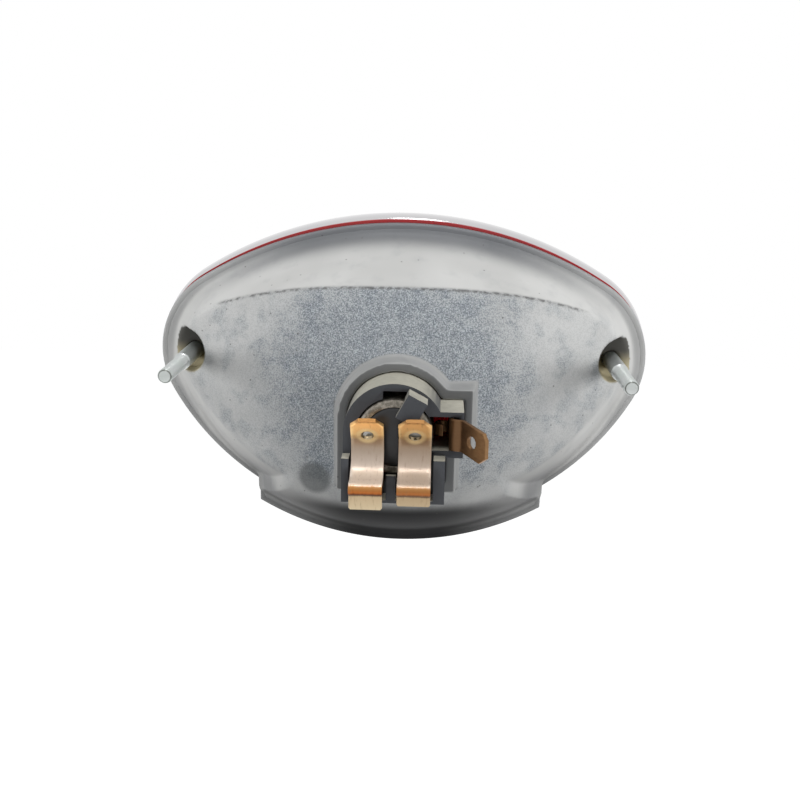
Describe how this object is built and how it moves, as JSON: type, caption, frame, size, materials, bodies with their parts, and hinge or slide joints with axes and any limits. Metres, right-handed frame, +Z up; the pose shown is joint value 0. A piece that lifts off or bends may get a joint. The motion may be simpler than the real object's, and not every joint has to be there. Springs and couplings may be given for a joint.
{
  "type": "motorcycle tail light",
  "caption": "Eye-shaped rear lamp: die-cast bowl, domed red lens in a bright bezel, bayonet bulb in a moulded holder with spring blade contacts and threaded studs behind.",
  "frame": {"origin": "half way between the two mounting studs, on the plane of their shoulders, where a bracket seats", "axes": "+X to the right seen from behind, +Y forward to the lens, +Z up; the studs point along -Y"},
  "size_m": [0.1098, 0.0737, 0.0763],
  "materials": {
    "casting": "as-cast grey alloy, fine grain at the rear",
    "rubber": "matt black rubber",
    "red_lens": "clear red moulded plastic",
    "clear_window": "clear moulded plastic",
    "bright_trim": "bright plated",
    "zinc_steel": "bright zinc plate",
    "holder_plastic": "dark grey moulding",
    "contact_brass": "copper alloy with heat tint",
    "cap_metal": "nickel-plated cap",
    "insulator": "black insulating glass",
    "solder": "soft solder",
    "clear_glass": "clear glass",
    "tungsten": "tungsten and nickel wire"
  },
  "bodies": {
    "casing": {"housing": "casting", "housing_gasket": "rubber", "lens": "red_lens", "plate_window": "clear_window", "bezel": "bright_trim", "fixing_studs": "zinc_steel", "screw_seals": "rubber", "bulb_holder": "holder_plastic", "contact_feet": "contact_brass", "earth_terminal": "contact_brass"},
    "bulb": {"bulb_cap": "cap_metal", "bulb_pins": "cap_metal", "bulb_insulator": "insulator", "bulb_contacts": "solder", "bulb_glass": "clear_glass", "bulb_stem": "clear_glass", "tail_filament": "tungsten", "stop_filament": "tungsten", "filament_supports": "tungsten"},
    "tail_spring": {"tail_contact": "contact_brass"},
    "stop_spring": {"stop_contact": "contact_brass"}
  },
  "joints": [
    {"name": "bulb_push", "type": "slide", "parent": "casing", "child": "bulb", "axis": [0, -1, 0], "range_m": [0, 0.002], "stiffness_N_per_m": 1500, "springref_m": -0.004},
    {"name": "tail_contact_flex", "type": "hinge", "parent": "casing", "child": "tail_spring", "pos_m": [-0.0049, -0.0294, -0.0169], "axis": [1, 0, 0], "range_deg": [0, 20]},
    {"name": "stop_contact_flex", "type": "hinge", "parent": "casing", "child": "stop_spring", "pos_m": [0.0041, -0.0294, -0.0169], "axis": [1, 0, 0], "range_deg": [0, 20]}
  ],
  "couplings": [
    {"joint": "tail_contact_flex", "follows": "bulb_push", "rad_per_m": 167.9},
    {"joint": "stop_contact_flex", "follows": "bulb_push", "rad_per_m": 167.9}
  ]
}
